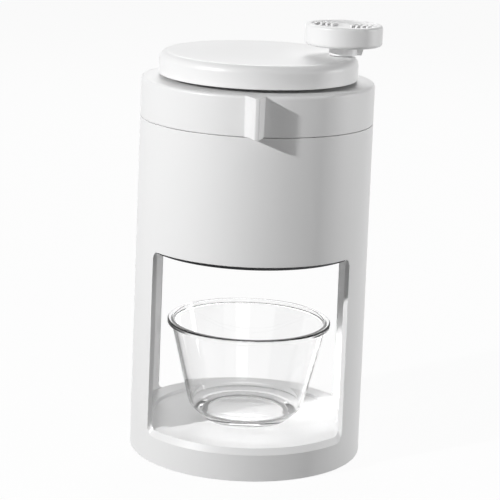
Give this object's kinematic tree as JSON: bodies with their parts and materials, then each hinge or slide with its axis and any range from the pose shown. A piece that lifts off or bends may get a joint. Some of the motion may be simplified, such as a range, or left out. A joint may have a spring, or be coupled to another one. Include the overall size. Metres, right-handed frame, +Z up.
{
  "type": "hand crank ice shaver",
  "caption": "Round hand-cranked ice shaver: open stand with a serving bay and glass bowl, lift-out hopper with blade, bayonet cover, sprung presser and a disc crank with a turning knob",
  "frame": {"origin": "Middle of the anti-slip pad's underside, on the axis of the round body, on the table.", "axes": "+Z up along the crank's axis; -Y is the front, with the thumb tab; +X is the side where the knob stands at rest."},
  "size_m": [0.1342, 0.1412, 0.2461],
  "materials": {
    "body_white": "satin",
    "hopper_white": "satin",
    "inner_white": "satin",
    "bearing_natural": "smooth",
    "steel": "brushed",
    "pad_grey": "matte",
    "bowl_glass": "clear"
  },
  "bodies": {
    "stand": {"stand_frame": "body_white", "base_cover": "body_white", "base_screws": "steel", "foot_pad": "pad_grey"},
    "hopper": {"ice_hopper": "hopper_white", "shaving_blade": "steel", "blade_holder": "inner_white", "blade_screws": "steel"},
    "cover": {"cover_ring": "body_white", "bearing_bush": "bearing_natural"},
    "crank": {"crank_disc": "body_white", "drive_shaft": "inner_white", "shaft_screws": "steel", "stop_washer": "steel", "stop_screw": "steel", "knob_axle": "steel", "axle_washer": "steel", "presser_spring": "steel"},
    "presser": {"presser_plate": "inner_white", "presser_spikes": "steel", "bore_cap": "inner_white"},
    "knob": {"knob_hub": "body_white", "knob_body": "body_white", "knob_cap": "body_white"},
    "bowl": {"glass_bowl": "bowl_glass"}
  },
  "joints": [
    {"name": "hopper_lift", "type": "slide", "parent": "stand", "child": "hopper", "axis": [0, 0, 1], "range_m": [0, 0.1]},
    {"name": "cover_twist", "type": "hinge", "parent": "hopper", "child": "cover", "pos_m": [0, 0, 0.2], "axis": [0, 0, 1], "range_deg": [0, 30]},
    {"name": "crank_turn", "type": "hinge", "parent": "cover", "child": "crank", "pos_m": [0, 0, 0.21], "axis": [0, 0, 1], "continuous": true},
    {"name": "presser_rise", "type": "slide", "parent": "crank", "child": "presser", "axis": [0, 0, 1], "range_m": [0, 0.025], "stiffness_N_per_m": 300, "springref_m": -0.015, "deforming": ["presser_spring"]},
    {"name": "knob_turn", "type": "hinge", "parent": "crank", "child": "knob", "pos_m": [0.0464, 0, 0.235], "axis": [0, 0, 1], "continuous": true},
    {"name": "bowl_out", "type": "slide", "parent": "stand", "child": "bowl", "axis": [0, -0.9945, 0.1045], "range_m": [0, 0.14]}
  ]
}
